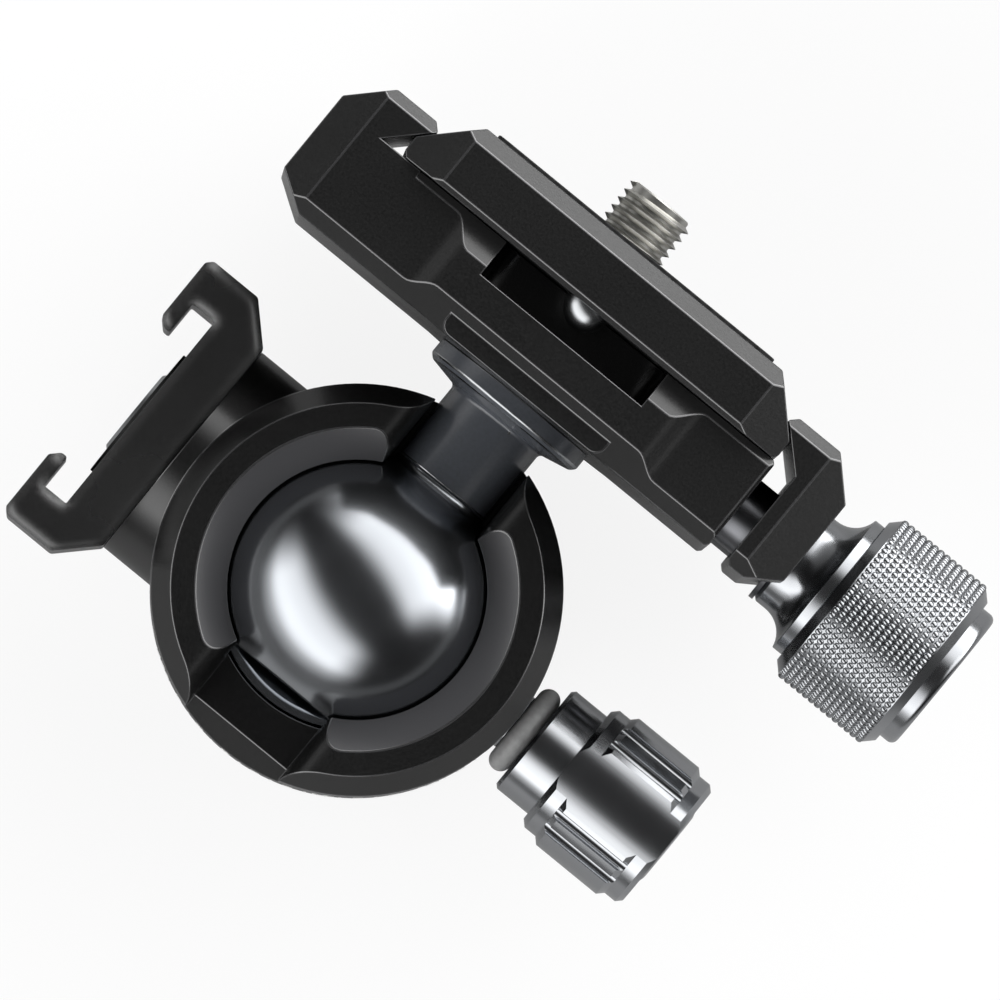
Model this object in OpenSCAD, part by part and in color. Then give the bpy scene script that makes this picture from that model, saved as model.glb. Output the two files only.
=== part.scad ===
// Tripod ball head with a drop notch on each side, a quick-release screw clamp and a cold shoe.
// X runs towards the lock knob, Y along the stem, Z up the pan axis. Z = 0 is the tripod face.

/* [Base] */
// How far the base disc is set in from the housing
base_inset = 0.2; // [0:0.05:1]
// Height of the base disc
base_h = 8; // [7.5:0.1:9]
// Radius of the thread in the tripod socket
socket_r = 2.6; // [2:0.1:3.2]
// Depth of the tripod socket
socket_depth = 6; // [5:0.1:6.4]
// Outer radius of the threaded bush that lines the socket
bush_r = 4.76; // [4:0.1:5.2]
// How far the pivot's washer overlaps the floor of the housing
washer_overhang = 2; // [1.5:0.1:2.5]

/* [Ball] */
// Radius of the ball
ball_r = 11; // [10.5:0.1:11.5]
// Room under the ball, above the housing's floor, for the cup and its spring
ball_room = 2.2; // [2:0.1:4]
// Depth of the flat ground on the ball's foot
foot_cut = 1.7; // [1:0.1:2.5]

/* [Stem] */
// Radius of the stem
stem_r = 4.38; // [3.8:0.01:4.5]
// Gap between the housing and the flange when the stem lies in a notch
flange_gap = 1.25; // [0.8:0.05:3]
// Radius of the flange under the clamp
flange_r = 7.4; // [6.5:0.1:8]
// Thickness of the flange's rim
flange_t = 1.8; // [1:0.1:3]

/* [Housing] */
// Thickness of the housing's wall round the ball
wall_t = 5.1; // [4.5:0.1:6.5]
// Height of the flat rim above the ball's centre
rim_rise = 5.95; // [5.6:0.05:7]
// Width of the sloping shoulder outside the flat rim
shoulder_w = 1.55; // [1:0.05:2]
// Height of the sloping shoulder
shoulder_h = 2.2; // [1:0.1:4]
// Width of the flat rim
rim_w = 2; // [1.5:0.1:2.3]
// Height above the ball's centre at which the mouth holds the ball
mouth_rise = 4.27; // [3.8:0.01:4.6]
// Gap between the stem and the sides and floor of a notch
notch_gap = 0.37; // [0.3:0.01:0.8]
// Radius that rounds the notch's long edges
notch_round = 2.4; // [1:0.1:3]
// Bevel at the outer end of the notch floor
notch_bevel = 1.9; // [0.5:0.1:2.5]

/* [Lock knob] */
// Depth of the lock screw's axis below the ball's centre
lock_drop = 8.5; // [8:0.1:8.8]
// Radius of the lock screw
lock_screw_r = 2.5; // [2.3:0.05:3]
// Outer radius of the ring seal behind the knob
seal_r = 3.97; // [3.8:0.01:4.5]
// Radius of the smooth collar behind the grip
collar_r = 5; // [4.5:0.1:5.5]
// Length of the smooth collar
collar_length = 3.45; // [2:0.05:5]
// Radius of the fluted grip
lock_grip_r = 6.5; // [6.2:0.1:7.5]
// Length of the fluted grip between its flanges
lock_grip_length = 7.15; // [5:0.05:10]
// Step from the grip down to the flange on each side of it
lock_flange_step = 0.5; // [0.3:0.05:0.8]
// Number of wide scallops round the grip
lock_scallops = 2; // [2:1:3]
// Radius of each scallop
scallop_r = 7.7; // [6:0.1:9]
// Depth of each scallop
scallop_depth = 1.2; // [0.9:0.05:1.5]
// Depth of the narrow flutes beside each scallop
flute_depth = 0.65; // [0.4:0.05:0.8]

/* [Cold shoe] */
// Thickness of the shoe's two sides
shoe_side_t = 3.68; // [3:0.01:5]
// Length of the shoe along its channel
shoe_length = 18; // [16:0.1:18.2]
// Thickness of the shoe's back
shoe_back_t = 4.39; // [4:0.01:6]
// Thickness of the two lips
lip_t = 1.3; // [1:0.1:2]
// Height of the channel under the lips
channel_h = 2.26; // [2:0.01:2.5]
// Width of the channel
channel_w = 18.64; // [18.2:0.01:19]
// Width of the mouth between the lips
shoe_mouth_w = 12.8; // [12:0.1:13.5]
// Radius of the round arm that carries the shoe
arm_r = 10; // [9.5:0.1:10.5]
// How far the arm stands out from the housing
arm_length = 1.45; // [1:0.05:3]

/* [Clamp] */
// Height of the clamp body from the flange to the bed
bed_h = 8.7; // [8.5:0.1:10]
// Thickness of the fixed jaw at the bed
fixed_jaw_t = 4.51; // [4:0.01:6]
// How far the bed ends short of the moving jaw's dovetail
bed_short = 1.82; // [1.6:0.01:2.5]
// Half of the clamp's depth at its two ends
clamp_half_depth = 17.2; // [16.5:0.1:19]
// How far the middle of the clamp stands proud of its ends
waist_proud = 1.15; // [0.6:0.05:1.5]
// Height of the jaws above the bed
jaw_h = 3.85; // [3.2:0.05:4.5]
// Gap between the clamp body and the moving jaw
jaw_gap = 1.86; // [1.5:0.01:2.5]
// Thickness of the moving jaw
jaw_t = 4.54; // [4.3:0.01:5.5]
// Thickness of the clamp body under the guide rods
under_wall = 1; // [0.8:0.05:1.4]
// Radius of the two guide rods
rod_r = 3; // [2.5:0.1:3.1]
// Thickness of the wall between the clamp bolt's head and each guide rod
rod_wall = 0.25; // [0.2:0.05:0.5]
// Half of the width of the pocket for each stop pin
pocket_half_w = 8.2; // [6:0.1:9]
// Depth of the pocket below the bed
pocket_depth = 3.35; // [2.6:0.05:3.6]
// Travel of the plate in the clamp, each way
plate_travel = 3; // [2:0.1:3.2]

/* [Plate] */
// Width of the dovetail plate
plate_w = 38.16; // [37.6:0.01:38.4]
// Length of the plate
plate_length = 38; // [37:0.1:42]
// Thickness of the plate
plate_t = 5.85; // [5:0.05:7]
// Height of the plate's upright sides, from its underside
plate_knee = 1.85; // [1.6:0.05:2.2]
// Height that the rubber pad stands above the plate
pad_proud = 0.3; // [0.2:0.05:0.8]
// Distance of the stop pins from the plate's two ends
pin_margin = 2.5; // [2.3:0.1:3.5]
// Radius of the domed heads of the stop pins
pin_head_r = 2; // [1.5:0.1:2.4]

/* [Camera screw] */
// Radius of the camera screw
camera_r = 3.175; // [3:0.005:3.3]
// Radius of the neck that the plate holds the screw by
camera_neck_r = 2.7; // [2.3:0.05:2.9]
// Length of the screw above the rubber pad
camera_rise = 4.5; // [3.5:0.1:6]
// Offset of the camera screw from the stem's axis
camera_offset = 0.67; // [0:0.01:1]
// Radius of the screw's head
camera_head_r = 6; // [5:0.1:6.5]

/* [Clamp knob] */
// Radius of the knurled grip
grip_r = 8; // [7:0.1:9]
// Length of the knurled grip
grip_length = 10.1; // [8:0.1:13]
// Number of beads along the grip
grip_beads = 14; // [10:1:16]
// Radius of the hub where it enters the jaw
hub_r = 4.5; // [4:0.1:4.6]
// Step from the grip down to the hub's collar and to the end cap
collar_step = 1.5; // [1:0.1:2]

/* [Hidden] */
$fn = 96;

// Clearances and the overrun that every cut takes
cut = 1;
thread_gap = 0.03;
slide_gap = 0.05;
seat_gap = 0.15;
small_edge = 0.3;
edge = 0.5;

// Base
base_edge = 0.6;
pivot_top_gap = 0.1;
glide_t = 0.4;
glide_air = 0.05;
floor_t = 2.4;
floor_rim = 1.2;
washer_t = 0.8;
pivot_screw_r = 2;
pivot_web = 0.9;
countersink_r = 3.8;
pivot_hex_r = 1.3;
pivot_hex_depth = 0.7;
relief_depth = 0.6;
relief_land_w = 3.24;
relief_rim_w = 2.7;
relief_inner_r = bush_r + relief_land_w;
bush_slot_w = 1.2;
bush_slot_depth = 1.4;
housing_z = base_h + glide_t;
floor_top = housing_z + floor_t;
pivot_top = floor_top + pivot_top_gap;
pivot_screw_length = pivot_top - socket_depth - pivot_web;

// Ball and the bore of the housing round it
cavity_gap = 0.3;
ball_z = floor_top + ball_room + ball_r;
ball_flat = ball_r - foot_cut;
cavity_r = ball_r + cavity_gap;
housing_r = cavity_r + wall_t;
base_r = housing_r - base_inset;
relief_outer_r = base_r - relief_rim_w;

// Stem
neck_drop = 0.4;
neck_y = ball_r - neck_drop;
stem_length = housing_r + flange_gap - neck_y;
collar_over = 0.07;
neck_cove = 0.7;
neck_r = stem_r + collar_over;
cove_y = sqrt(pow(ball_r + neck_cove, 2) - pow(neck_r + neck_cove, 2));
cove_end_r = (neck_r + neck_cove) * ball_r / (ball_r + neck_cove);
spigot_r = 3;
spigot_length = 6.4;
stem_fillet = 0.45;
flange_rise = 0.45;
flange_tip = 0.4;
clamp_y = neck_y + stem_length + flange_rise + flange_t;
key_r = 1;
key_offset = 5.6;
key_length = 2.4;

// Housing, whose bore narrows to the mouth on a cone that lies along the ball
mouth_r = sqrt(pow(ball_r + seat_gap, 2) - pow(mouth_rise, 2));
rim_outer_r = housing_r - shoulder_w;
rim_inner_r = rim_outer_r - rim_w;
rim_z = ball_z + rim_rise;
shoulder_z = rim_z - shoulder_h;
seat_rise = mouth_rise - (cavity_r - mouth_r) * mouth_r / mouth_rise;
notch_w = 2 * (stem_r + notch_gap);
notch_drop = stem_r + notch_gap;
notch_floor_end = housing_r - notch_bevel;

// Lower cup, its spring and the wedge pin
cup_drop = 5.4;
cup_w = 4.65;
cup_lift = 1.2;
cup_z = floor_top + cup_lift;
cup_h = ball_z - cup_drop - cup_z;
cup_outer_r = cavity_r - seat_gap;
cup_bore_r = cup_outer_r - cup_w;
cup_slope_r = (ball_r + seat_gap) * sqrt(2);
cup_spring_t = 0.35;
cup_spring_w = 1.7;
cup_spring_r = cup_outer_r - cup_spring_w;
cup_spring_room = 0.95;
washer_r = cup_spring_r - cup_spring_room;
pivot_r = washer_r - washer_overhang;
lock_z = ball_z - lock_drop;
wedge_r = lock_screw_r - slide_gap;
wedge_x = cavity_r - slide_gap;
wedge_length = 2.35;
wedge_tip_r = 0.4;
wedge_tip_length = 1.6;
wedge_step = 0.4;
wedge_base_r = wedge_r - wedge_step;
wedge_drop = 0.2;
wedge_gap = 0.35;

// Lock knob
seal_air = 0.05;
seal_groove = 0.48;
seal_neck_r = lock_screw_r - seal_groove;
seal_wire_r = (seal_r - seal_neck_r - slide_gap) / 2;
seal_x = housing_r + seal_air;
collar_x = seal_x + 2 * seal_wire_r;
lock_flange_x = collar_x + collar_length;
lock_flange_w = 1.6;
lock_flange_r = lock_grip_r - lock_flange_step;
lock_grip_x = lock_flange_x + lock_flange_w;
lock_grip_end = lock_grip_x + lock_grip_length;
lock_end_w = 1.05;
lock_end_bevel = 0.45;
lock_body_end = lock_grip_end + lock_end_w + lock_end_bevel;
scallop_floor = lock_grip_r - scallop_depth;
flute_angles = [34.5, 51.5];
flute_sink = 0.13;
flute_r = flute_depth - flute_sink;
lock_screw_depth = 4;
lock_cap_r = 3.6;
lock_cap_t = 0.9;
lock_cap_dome = 0.15;

// Cold shoe
arm_reach = housing_r + arm_length;
arm_drop = 6.4;
arm_z = ball_z - arm_drop;
arm_lift = 0.7;
arm_floor_z = housing_z + arm_lift;
shoe_z = arm_floor_z;
shoe_back_bevel = 2.95;
shoe_corner = 0.5;
lip_bevel = 0.75;
channel_x = arm_reach + shoe_back_t;
shoe_reach = channel_x + channel_h + lip_t;
shoe_w = channel_w + 2 * shoe_side_t;
shoe_pad_r = 5.9;
shoe_pad_proud = 0.3;
shoe_head_r = 3.85;
shoe_head_proud = 0.27;
shoe_screw_r = 2;
shoe_screw_bite = 4;
shoe_screw_end = 0.5;
shoe_hex_r = 1.3;
shoe_hex_depth = 1.2;
shoe_head_t = 1.6;

// Clamp body
bed_y = clamp_y + bed_h;
axis_y = clamp_y + under_wall + rod_r + slide_gap;
jaw_top_y = bed_y + jaw_h;
clamp_mid_depth = clamp_half_depth + waist_proud;
waist_start = 12.8;
waist_end = 10.2;
waist_steps = 8;
corner_w = 2.9;
corner_depth = 1.35;
under_bevel = 1.3;
under_bevel_mid = under_bevel + waist_proud;
bed_bevel = 0.63;
bed_bevel_slope = 1.71;
bed_bevel_end = 17;
jaw_front_bevel = 0.95;
dovetail_gap = 0.1;
plate_gap = 0.05;
left_low_w = 3.2;
left_low_h = 2.1;
left_top_w = 3.1;
jaw_lip = 0.65;
jaw_tip_h = 0.35;
hub_pad_half_w = 8.1;
hub_pad_back = 0.9;
hub_pad_corner_r = 1;
pocket_corner_r = 2.2;
bolt_r = 2.5;
bolt_head_r = 4.25;
bolt_head_t = 3.4;
bolt_hex_r = 2;
bolt_hex_depth = 1.8;
bolt_sink = 0.4;
bolt_reach = 6;
rod_offset = bolt_head_r + slide_gap + rod_wall + rod_r + slide_gap;
clamp_screw_r = 2.5;
screw_hole_r = 2.7;
screw_inner_x = 6.5;
rod_inner_x = 5;
rod_jaw_depth = 2.9;
rod_bore_x = -1;
plate_half_w = plate_w / 2;
dovetail_x = plate_half_w + plate_knee + plate_gap + dovetail_gap * sqrt(2);
clamp_left = dovetail_x + fixed_jaw_t;
clamp_right = dovetail_x - bed_short;
jaw_tip_x = dovetail_x - jaw_h + jaw_lip;

// Moving jaw
jaw_x = clamp_right + jaw_gap;
jaw_end_x = jaw_x + jaw_t;
jaw_low_lift = 0.1;
jaw_low_w = 2.84;
jaw_low_h = 1.8;
jaw_foot_bevel = 0.54;
jaw_top_w = 3;
jaw_corner_w = 3.3;
jaw_corner_depth = 1.5;
hub_sink = 0.95;
hub_gap = 0.12;
hub_hole_r = hub_r + hub_gap;
thrust_t = 0.4;

// Jaw springs
coil_turns = 4;
coil_r = 2.3;
coil_wire_r = 0.35;
coil_sides = 6;
coil_steps = 8;

// Clamp knob
hub_x = jaw_end_x - hub_sink;
hub_neck = 1.3;
hub_flare_r = 2.4;
hub_flare_length = 2.3;
hub_collar_w = 1;
hub_collar_r = grip_r - collar_step;
grip_x = hub_x + hub_neck + hub_flare_length + hub_collar_w;
grip_end_bevel = 0.95;
bead_depth = 0.22;
bead_margin = 0.8;
bead_pitch = (grip_length - 2 * bead_margin) / grip_beads;
cap_w = 1.5;
cap_round = 0.6;
cap_lip = 0.15;
knob_screw_depth = 3;

// Plate
plate_y = bed_y + plate_gap;
plate_top_y = plate_y + plate_t;
plate_under_edge = 0.45;
plate_front_bevel = 1.38;
plate_corner_w = 3.9;
plate_corner_depth = 1.9;
pad_t = 0.8;
pad_side_w = 1.03;
pad_half_w = plate_half_w - (plate_t - plate_knee) - pad_side_w;
pad_margin = 1.9;
pad_corner_r = 1;
pad_y = plate_top_y + pad_proud - pad_t;
pin_offset = plate_length / 2 - pin_margin;
pin_shank_r = 1.25;
pin_shank_length = 3.6;

// Camera screw
camera_head_t = 2.6;
camera_head_sink = 0.2;
camera_slot_w = 1.4;
camera_slot_depth = 1.3;
camera_tip = 0.5;
camera_thread_air = 0.1;
camera_thread_y = plate_top_y + pad_proud + camera_thread_air;
camera_tip_y = plate_top_y + pad_proud + camera_rise;
clip_t = 0.6;
clip_r = 4.6;
clip_sink = 0.35;
head_room = 0.2;
head_y = plate_y + camera_head_sink;
clip_y = pad_y - clip_t - clip_sink;

// Turns a child's Z axis to +X, on the lock screw's axis
module on_lock_axis(x) {
    translate([x, 0, lock_z]) rotate([0, 90, 0]) children();
}

// Turns a child's Z axis to +X, on the clamp screw's axis or beside it
module on_clamp_axis(x, side = 0) {
    translate([x, axis_y, ball_z + side]) rotate([0, 90, 0]) children();
}

// Turns a child's Z axis to +Y, on the stem's axis or beside it
module on_stem_axis(y, x = 0, z = 0) {
    translate([x, y, ball_z + z]) rotate([-90, 0, 0]) children();
}

// Extrudes a plan drawn in X and Z, measured from the ball's centre, from y0 to y1
module plan_extrude(y0, y1) {
    translate([0, y1, ball_z]) rotate([90, 0, 0]) linear_extrude(y1 - y0) children();
}

// Extrudes a side view drawn in Y and Z, measured from the ball's centre, from x0 to x1
module side_extrude(x0, x1) {
    translate([x0, 0, ball_z]) rotate([90, 0, 90]) linear_extrude(x1 - x0) children();
}

// Extrudes a front view drawn in X and Y over a depth on both sides of the ball's centre
module front_extrude(half_depth) {
    translate([0, 0, ball_z - half_depth]) linear_extrude(2 * half_depth) children();
}

// A round bar with a bevel at each end
module rod(r, length, bevel0, bevel1) {
    rotate_extrude() polygon([
        [0, 0], [r - bevel0, 0], [r, bevel0], [r, length - bevel1], [r - bevel1, length], [0, length]
    ]);
}

// A flat ring
module ring(inner_r, outer_r, t) {
    difference() {
        cylinder(r = outer_r, h = t);
        translate([0, 0, -cut]) cylinder(r = inner_r, h = t + 2 * cut);
    }
}

// A square with round corners, centred
module round_square(half_x, half_y, r) {
    square([2 * (half_x - r), 2 * half_y], center = true);
    square([2 * half_x, 2 * (half_y - r)], center = true);
    for (sx = [-1, 1], sy = [-1, 1]) translate([sx * (half_x - r), sy * (half_y - r)]) circle(r);
}

// Points of a smooth step from one point to another
function smooth_step(x0, y0, x1, y1) = [
    for (i = [0 : waist_steps]) let (t = i / waist_steps)
        [x0 + (x1 - x0) * t, y0 + (y1 - y0) * (1 - cos(180 * t)) / 2]
];

function flip_y(points) = [for (i = [len(points) - 1 : -1 : 0]) [points[i][0], -points[i][1]]];

// Repeats a shape on the other side of the plane through the ball's centre and the stem
module both_sides() {
    children();
    translate([0, 0, 2 * ball_z]) mirror([0, 0, 1]) children();
}

module base_plate() color("#262626") difference() {
    union() {
        rod(base_r, base_h, base_edge, small_edge);
        cylinder(r = pivot_r, h = pivot_top);
    }
    translate([0, 0, -cut]) cylinder(r = bush_r + thread_gap, h = socket_depth + cut);
    translate([0, 0, pivot_top - pivot_screw_length]) cylinder(r = pivot_screw_r + thread_gap, h = base_h);
    translate([0, 0, -cut]) ring(relief_inner_r, relief_outer_r, relief_depth + cut);
}

module socket_bush() color("#b8b8b4") difference() {
    rod(bush_r, socket_depth, small_edge, small_edge);
    translate([0, 0, -cut]) cylinder(r = socket_r, h = socket_depth + 2 * cut);
    translate([-bush_r - cut, -bush_slot_w / 2, -cut])
        cube([2 * (bush_r + cut), bush_slot_w, bush_slot_depth + cut]);
}

module pivot_washer() color("#c9c9c9") translate([0, 0, pivot_top]) difference() {
    cylinder(r = washer_r, h = washer_t);
    countersink(slide_gap);
}

// The cone and shank of the pivot screw, measured from the washer's underside
module countersink(gap) {
    translate([0, 0, -cut]) cylinder(r = pivot_screw_r + gap, h = washer_t + 2 * cut);
    rotate_extrude() polygon([
        [0, washer_t + pivot_screw_r - countersink_r],
        [pivot_screw_r, washer_t + pivot_screw_r - countersink_r],
        [countersink_r + gap, washer_t + gap], [countersink_r + gap, washer_t + cut], [0, washer_t + cut]
    ]);
}

module pivot_screw() color("#8c8c8c") translate([0, 0, pivot_top]) difference() {
    union() {
        intersection() {
            countersink(0);
            cylinder(r = countersink_r, h = washer_t);
        }
        translate([0, 0, small_edge - pivot_screw_length])
            cylinder(r = pivot_screw_r, h = pivot_screw_length);
    }
    translate([0, 0, washer_t - pivot_hex_depth]) cylinder(r = pivot_hex_r, h = cut, $fn = 6);
}

module pan_glide() color("#e8e6df") translate([0, 0, base_h])
    ring(pivot_r + edge, base_r - 2 * edge, glide_t - glide_air);

module housing() color("#2b2b2b") difference() {
    union() {
        housing_shell();
        shoe_arm();
    }
    housing_cavity();
    for (side = [0, 180]) rotate([0, 0, side]) drop_notch();
    on_lock_axis(0) cylinder(r = lock_screw_r + thread_gap, h = housing_r + cut);
    translate([-arm_reach - cut, 0, arm_z]) rotate([0, 90, 0])
        cylinder(r = shoe_screw_r + thread_gap, h = cut + shoe_screw_bite + shoe_screw_end);
}

module housing_shell() {
    rotate_extrude() polygon([
        [0, housing_z], [housing_r - small_edge, housing_z], [housing_r, housing_z + small_edge],
        [housing_r, shoulder_z], [rim_outer_r, rim_z], [0, rim_z]
    ]);
}

// Round arm, flat below so that it clears the base
module shoe_arm() intersection() {
    translate([-arm_reach, 0, arm_z]) rotate([0, 90, 0]) cylinder(r = arm_r, h = arm_reach - mouth_r);
    translate([-arm_reach - cut, -arm_r - cut, arm_floor_z])
        cube([arm_reach + cut, 2 * (arm_r + cut), rim_z]);
}

// Bored from below for the floor plate, the cup and the ball, and coned above the mouth
module housing_cavity() rotate_extrude() polygon([
    [0, housing_z - cut], [cavity_r + floor_rim, housing_z - cut], [cavity_r + floor_rim, floor_top],
    [cavity_r, floor_top], [cavity_r, ball_z + seat_rise], [mouth_r, ball_z + mouth_rise],
    [rim_inner_r, rim_z], [rim_inner_r, rim_z + cut], [0, rim_z + cut]
]);

// One notch, towards +Y, with its long edges rounded over and its floor bevelled at the outer end
module drop_notch() {
    half = notch_w / 2;
    intersection() {
        side_extrude(-housing_r, housing_r) polygon([
            [0, -notch_drop], [notch_floor_end, -notch_drop],
            [housing_r + cut, -notch_drop - notch_bevel - cut],
            [housing_r + cut, rim_rise + cut], [0, rim_rise + cut]
        ]);
        translate([0, housing_r + cut + cut, ball_z]) rotate([90, 0, 0])
            linear_extrude(housing_r + cut + cut) notch_mouth(half);
    }
}

module notch_mouth(half) difference() {
    union() {
        translate([-half, -housing_r]) square([2 * half, housing_r + rim_rise + cut]);
        translate([-half - notch_round, rim_rise - notch_round])
            square([2 * (half + notch_round), notch_round + cut]);
    }
    for (side = [-1, 1]) translate([side * (half + notch_round), rim_rise - notch_round])
        circle(notch_round);
}

module floor_plate() color("#3a3a3a") translate([0, 0, housing_z]) difference() {
    rod(cavity_r + floor_rim - thread_gap, floor_t, small_edge, small_edge);
    translate([0, 0, -cut]) cylinder(r = pivot_r + slide_gap, h = floor_t + 2 * cut);
}

module cup_spring() color("#9a9a9a") {
    rotate_extrude() polygon([
        [cup_outer_r, floor_top], [cup_outer_r, floor_top + cup_spring_t],
        [cup_spring_r, cup_z], [cup_spring_r, cup_z - cup_spring_t]
    ]);
}

module lower_cup() color("#34383c") difference() {
    rotate_extrude() polygon([
        [cup_bore_r, cup_z], [cup_outer_r, cup_z], [cup_outer_r, cup_z + cup_h],
        [cup_slope_r - cup_drop, cup_z + cup_h], [cup_bore_r, ball_z + cup_bore_r - cup_slope_r]
    ]);
    on_lock_axis(wedge_x - wedge_tip_length - wedge_gap) translate([wedge_drop, 0, 0])
        cylinder(r1 = wedge_tip_r + wedge_gap, r2 = wedge_base_r + 2 * wedge_gap,
                 h = wedge_tip_length + 2 * wedge_gap);
}

module lock_pin() color("#c2a05a") on_lock_axis(wedge_x - wedge_tip_length) rotate_extrude() polygon([
    [0, 0], [wedge_tip_r, 0], [wedge_base_r, wedge_tip_length], [wedge_r, wedge_tip_length],
    [wedge_r, wedge_tip_length + wedge_length], [0, wedge_tip_length + wedge_length]
]);

// Screw with a neck that the ring seal sits in
module lock_screw() color("#a8a8a8") difference() {
    on_lock_axis(wedge_x + wedge_length)
        rod(lock_screw_r, collar_x + lock_screw_depth - wedge_x - wedge_length, edge, small_edge);
    on_lock_axis(seal_x) ring(seal_neck_r, lock_screw_r + cut, collar_x - seal_x);
}

module lock_seal() color("#8f8f8f") on_lock_axis(seal_x + seal_wire_r) rotate_extrude()
    translate([seal_r - seal_wire_r, 0]) circle(seal_wire_r, $fn = 48);

// Collar, flange, grip and flange turned from one bar, with the wide scallops milled at top and bottom
module lock_knob() color("#c9cbce") difference() {
    on_lock_axis(0) rotate_extrude() polygon([
        [0, collar_x], [collar_r - small_edge, collar_x], [collar_r, collar_x + small_edge],
        [collar_r, lock_flange_x], [lock_flange_r - edge, lock_flange_x],
        [lock_flange_r, lock_flange_x + edge], [lock_flange_r, lock_grip_x],
        [lock_grip_r, lock_grip_x + lock_flange_step], [lock_grip_r, lock_grip_end - lock_flange_step],
        [lock_flange_r, lock_grip_end], [lock_flange_r, lock_grip_end + lock_end_w],
        [lock_flange_r - lock_end_bevel, lock_body_end], [0, lock_body_end]
    ]);
    for (i = [0 : lock_scallops - 1]) on_lock_axis(lock_flange_x) rotate([0, 0, i * 360 / lock_scallops])
        translate([-scallop_floor - scallop_r, 0, 0]) cylinder(r = scallop_r, h = lock_body_end);
    for (i = [0 : lock_scallops - 1], a = flute_angles, side = [-1, 1])
        on_lock_axis(lock_grip_x) rotate([0, 0, i * 360 / lock_scallops + side * a])
            translate([flute_sink - lock_grip_r, 0, 0]) cylinder(r = flute_r, h = lock_grip_length);
    on_lock_axis(collar_x - cut) cylinder(r = lock_screw_r + thread_gap, h = lock_screw_depth + cut);
    on_lock_axis(lock_body_end - lock_cap_t) cylinder(r = lock_cap_r + thread_gap, h = lock_cap_t + cut);
}

module lock_end_cap() color("#b4b6b8") on_lock_axis(lock_body_end - lock_cap_t) rotate_extrude() polygon([
    [0, 0], [lock_cap_r, 0], [lock_cap_r, lock_cap_t], [lock_cap_r - edge, lock_cap_t + lock_cap_dome],
    [0, lock_cap_t + lock_cap_dome]
]);

// Channel between two lips, on a block that narrows to the arm
module shoe_outline() {
    half = shoe_w / 2;
    points = [
        [-arm_reach, 0], [-channel_x, 0], [-channel_x, channel_w / 2],
        [-shoe_reach + lip_t, channel_w / 2], [-shoe_reach + lip_t, shoe_mouth_w / 2],
        [-shoe_reach + lip_bevel, shoe_mouth_w / 2], [-shoe_reach, shoe_mouth_w / 2 + lip_bevel],
        [-shoe_reach, half - shoe_corner], [-shoe_reach + shoe_corner, half],
        [-arm_reach - shoe_back_bevel, half], [-arm_reach, half - shoe_back_bevel]
    ];
    polygon(points);
    polygon(flip_y(points));
}

module shoe_block() color("#2a2a2a") difference() {
    translate([0, 0, shoe_z]) linear_extrude(shoe_length) shoe_outline();
    translate([-shoe_reach, 0, arm_z]) rotate([0, 90, 0])
        cylinder(r = shoe_screw_r + slide_gap, h = shoe_reach);
    translate([-channel_x - cut, 0, arm_z]) rotate([0, 90, 0])
        cylinder(r = shoe_pad_r + thread_gap, h = cut + shoe_pad_proud);
    translate([-channel_x, 0, arm_z]) rotate([0, 90, 0])
        cylinder(r = shoe_head_r + slide_gap, h = shoe_pad_proud + shoe_head_t);
}

module shoe_washer() color("#202020") translate([-channel_x - shoe_pad_proud, 0, arm_z]) rotate([0, 90, 0])
    ring(shoe_head_r + slide_gap, shoe_pad_r, 2 * shoe_pad_proud);

module shoe_screw() color("#b9bbbd") {
    head_x = -channel_x - shoe_pad_proud - shoe_head_proud;
    seat_x = -channel_x + shoe_pad_proud + shoe_head_t;
    difference() {
        union() {
            translate([head_x, 0, arm_z]) rotate([0, 90, 0]) rod(shoe_head_r, seat_x - head_x, small_edge, 0);
            translate([head_x, 0, arm_z]) rotate([0, 90, 0])
                cylinder(r = shoe_screw_r, h = -arm_reach + shoe_screw_bite - head_x);
        }
        translate([head_x - cut, 0, arm_z]) rotate([0, 90, 0])
            cylinder(r = shoe_hex_r, h = shoe_hex_depth + cut, $fn = 6);
    }
}

// Ball with a ground foot, and a neck that flows into it on a cove
module ball() color("#d6d8da") difference() {
    on_stem_axis(0) rotate_extrude() {
        intersection() {
            circle(ball_r);
            translate([0, -ball_flat]) square([ball_r + cut, ball_flat + neck_y]);
        }
        difference() {
            square([cove_end_r, neck_y]);
            translate([neck_r + neck_cove, cove_y]) circle(neck_cove, $fn = 64);
        }
    }
    on_stem_axis(neck_y - spigot_length) cylinder(r = spigot_r + slide_gap, h = spigot_length + cut);
}

// Stem and flange turned in one, with the spigot that turns in the ball
module stem() color("#45484b") difference() {
    on_stem_axis(0) rotate_extrude() difference() {
        polygon([
            [0, neck_y - spigot_length + small_edge], [spigot_r, neck_y - spigot_length + small_edge],
            [spigot_r, neck_y + slide_gap], [stem_r - collar_over, neck_y + slide_gap],
            [stem_r, neck_y + slide_gap + collar_over], [stem_r, neck_y + stem_length - stem_fillet],
            [stem_r + stem_fillet, neck_y + stem_length],
            [flange_r - flange_tip, neck_y + stem_length + flange_rise],
            [flange_r, neck_y + stem_length + flange_rise + flange_tip], [flange_r, clamp_y], [0, clamp_y]
        ]);
        translate([stem_r + stem_fillet, neck_y + stem_length - stem_fillet])
            circle(stem_fillet, $fn = 48);
    }
    on_stem_axis(clamp_y - bolt_reach) cylinder(r = bolt_r + thread_gap, h = bolt_reach + cut);
    on_stem_axis(clamp_y - key_length / 2, 0, key_offset) cylinder(r = key_r + thread_gap, h = key_length);
}

module stem_key() color("#a0a0a0") on_stem_axis(clamp_y - key_length / 2 + thread_gap, 0, key_offset)
    cylinder(r = key_r, h = key_length - 2 * thread_gap);

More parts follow.
